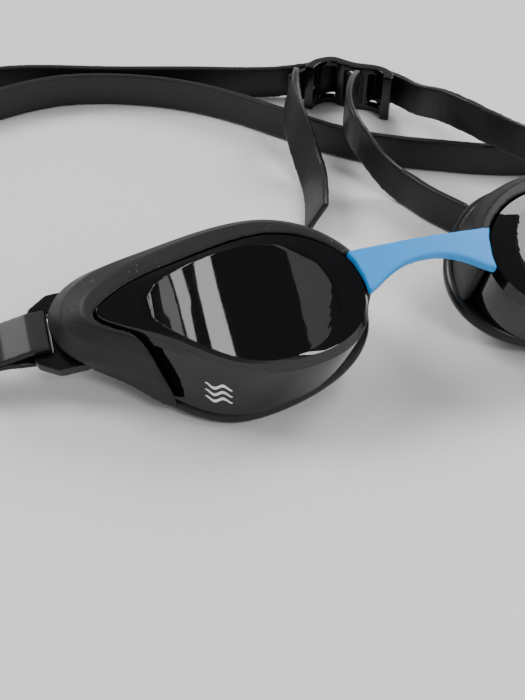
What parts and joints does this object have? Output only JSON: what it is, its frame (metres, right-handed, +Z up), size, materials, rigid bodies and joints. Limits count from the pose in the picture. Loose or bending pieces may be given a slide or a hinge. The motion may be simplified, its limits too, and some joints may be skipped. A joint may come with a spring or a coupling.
{
  "type": "swim goggles",
  "caption": "Low-profile racing swim goggles: two smoke lenses in soft frames joined by a flexible nose bridge, with a strap looped through temple clips and a rear ladder clip",
  "frame": {"origin": "on the table, under the middle of the bounding box of goggles and strap together", "axes": "+X towards the wearer's left eyecup (image right), +Y from the chin side of the eyecups to the back of the strap loop, +Z up; the eyecups lie face-seal down with the lenses up and tipped 18 degrees towards the chin side"},
  "size_m": [0.2689, 0.1456, 0.0298],
  "materials": {
    "smoke_lens": "polished smoke",
    "soft_black": "matte moulded",
    "soft_seal": "satin moulded",
    "hard_black": "gloss moulded",
    "strap_black": "satin silicone",
    "soft_blue": "matte moulded sky blue"
  },
  "bodies": {
    "right_eyecup": {"right_lens": "smoke_lens", "right_frame": "soft_black", "right_gasket": "soft_seal", "right_strap_clip": "hard_black", "right_strap_fold": "strap_black", "nose_bridge": "soft_blue"},
    "left_eyecup": {"left_lens": "smoke_lens", "left_frame": "soft_black", "left_gasket": "soft_seal", "left_strap_clip": "hard_black", "left_strap_fold": "strap_black"},
    "strap": {"right_strap_run_outer": "strap_black", "right_strap_run_inner": "strap_black", "left_strap_run_outer": "strap_black", "left_strap_run_inner": "strap_black", "strap_band_upper": "strap_black", "strap_band_lower": "strap_black", "strap_band_left": "strap_black"},
    "rear_clip": {"rear_clip": "hard_black", "strap_tail_left": "strap_black", "strap_tail_right": "strap_black"}
  },
  "joints": [
    {"name": "bridge_flex", "type": "hinge", "parent": "right_eyecup", "child": "left_eyecup", "pos_m": [0, -0.05811, 0.02624], "axis": [0, -0.9496, -0.3133], "range_deg": [0, 12], "stiffness_Nm_per_rad": 0.25, "deforming": ["nose_bridge", "left_strap_run_outer", "left_strap_run_inner"]},
    {"name": "strap_swing", "type": "hinge", "parent": "right_eyecup", "child": "strap", "pos_m": [0, -0.04295, 0.01003], "axis": [1, 0, 0], "range_deg": [0, 25], "deforming": ["right_strap_run_outer", "right_strap_run_inner", "left_strap_run_outer", "left_strap_run_inner"]},
    {"name": "rear_clip_slide", "type": "slide", "parent": "strap", "child": "rear_clip", "axis": [0.809, -0.5878, 0], "range_m": [-0.006, 0.002], "deforming": ["strap_band_upper", "strap_band_left"]}
  ]
}
